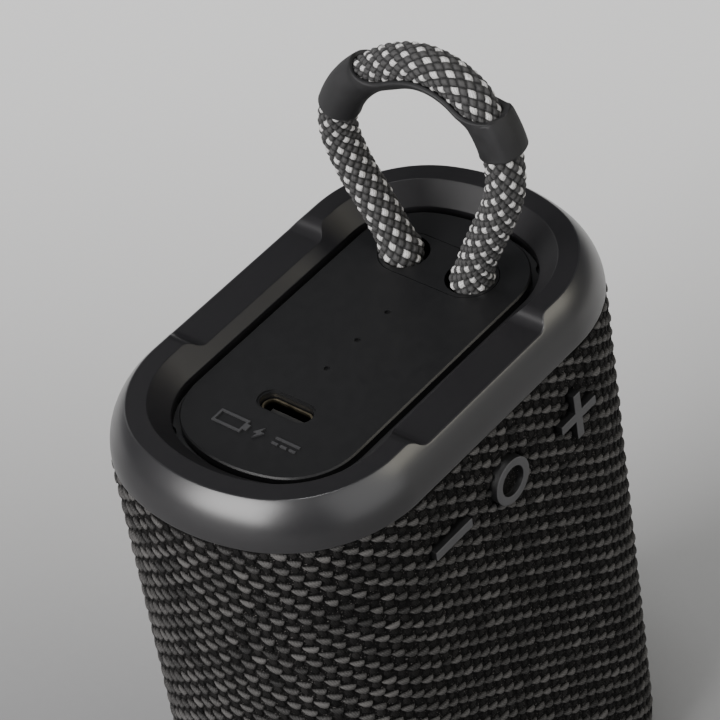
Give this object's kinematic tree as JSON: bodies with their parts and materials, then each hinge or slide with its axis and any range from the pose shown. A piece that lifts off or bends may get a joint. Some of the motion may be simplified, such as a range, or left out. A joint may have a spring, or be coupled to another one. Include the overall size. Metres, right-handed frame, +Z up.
{
  "type": "portable bluetooth speaker",
  "caption": "Upright speaker with flattened-oval cloth body, charcoal top and base rims, recessed top plate with charging socket, three side keys and a braided rope loop.",
  "frame": {"origin": "middle of the rubber foot's flat underside, on the surface the speaker stands on", "axes": "+Z up out of the top plate, X along the long side with the charging socket at -X and the rope loop at +X, the three keys face -Y"},
  "size_m": [0.0864, 0.055, 0.1523],
  "materials": {
    "rim_plastic": "satin charcoal moulded plastic, soft metallic sheen",
    "plate_plastic": "matte near-black moulded plastic",
    "inner_plastic": "matte black ABS",
    "cloth": "coarse grey and black knitted cloth",
    "rope": "braided black and grey cord with pale flecks",
    "rubber": "matte dark grey rubber",
    "steel": "zinc plated steel",
    "socket_metal": "gold tinted plated shell",
    "magnet": "sintered ferrite",
    "copper": "enamelled copper winding",
    "paper": "pressed cone material",
    "board": "green solder mask",
    "chip": "moulded chip package",
    "can": "bare aluminium can",
    "cell_wrap": "heat-shrunk blue film",
    "lens": "translucent light guide",
    "wire": "red insulated wire"
  },
  "bodies": {
    "root": {"anchor_screws": "steel", "audio_chip": "chip", "base_rim": "rim_plastic", "base_screws": "steel", "base_tray": "inner_plastic", "battery_cells": "cell_wrap", "battery_cups": "inner_plastic", "battery_lead": "wire", "board_capacitors": "can", "board_coils": "chip", "board_screws": "steel", "charge_marks": "plate_plastic", "chassis": "inner_plastic", "deck_screws": "steel", "driver_basket": "steel", "driver_gasket": "rubber", "driver_lead": "wire", "driver_magnet": "magnet", "driver_screws": "steel", "driver_washer": "steel", "driver_yoke": "steel", "fabric_sleeve": "cloth", "front_grille": "inner_plastic", "key_board": "board", "key_board_screws": "steel", "led_chips": "lens", "light_pipes": "lens", "main_board": "board", "plate_gasket": "rubber", "radiator_frame": "inner_plastic", "radiator_screws": "steel", "radio_module": "can", "rear_grille": "inner_plastic", "rope_crimps": "steel", "rubber_foot": "rubber", "strap_anchor": "steel", "strap_insert": "plate_plastic", "switch_housings": "chip", "top_deck": "inner_plastic", "top_plate": "plate_plastic", "top_rim": "rim_plastic", "usb_seal": "rubber", "usb_shell": "socket_metal", "usb_tongue": "chip"},
    "plus_key": {"key_plus": "rubber", "plunger_plus": "chip"},
    "power_key": {"key_power": "rubber", "key_power_cloth": "cloth", "plunger_power": "chip"},
    "minus_key": {"key_minus": "rubber", "plunger_minus": "chip"},
    "cone_group": {"cone": "paper", "dust_cap": "paper", "voice_coil": "copper", "surround": "rubber", "spider": "paper"},
    "radiator_group": {"radiator_plate": "steel", "radiator_surround": "rubber"},
    "strap": {"strap_rope": "rope", "strap_keeper": "rubber"}
  },
  "joints": [
    {"name": "plus_press", "type": "slide", "parent": "root", "child": "plus_key", "axis": [0, 1, 0], "range_m": [0, 0.0005], "stiffness_N_per_m": 2500},
    {"name": "power_press", "type": "slide", "parent": "root", "child": "power_key", "axis": [0, 1, 0], "range_m": [0, 0.0005], "stiffness_N_per_m": 2500},
    {"name": "minus_press", "type": "slide", "parent": "root", "child": "minus_key", "axis": [0, 1, 0], "range_m": [0, 0.0005], "stiffness_N_per_m": 2500},
    {"name": "cone_travel", "type": "slide", "parent": "root", "child": "cone_group", "axis": [0, -1, 0], "range_m": [-0.001, 0.001], "stiffness_N_per_m": 1200, "deforming": ["surround", "spider"]},
    {"name": "radiator_travel", "type": "slide", "parent": "root", "child": "radiator_group", "axis": [0, 1, 0], "range_m": [-0.0015, 0.0015], "stiffness_N_per_m": 900, "deforming": ["radiator_surround"]},
    {"name": "strap_flex", "type": "hinge", "parent": "root", "child": "strap", "pos_m": [0.02044, 0, 0.1088], "axis": [0, 1, 0], "range_deg": [-45, 45], "stiffness_Nm_per_rad": 0.02, "deforming": ["strap_rope"]}
  ]
}
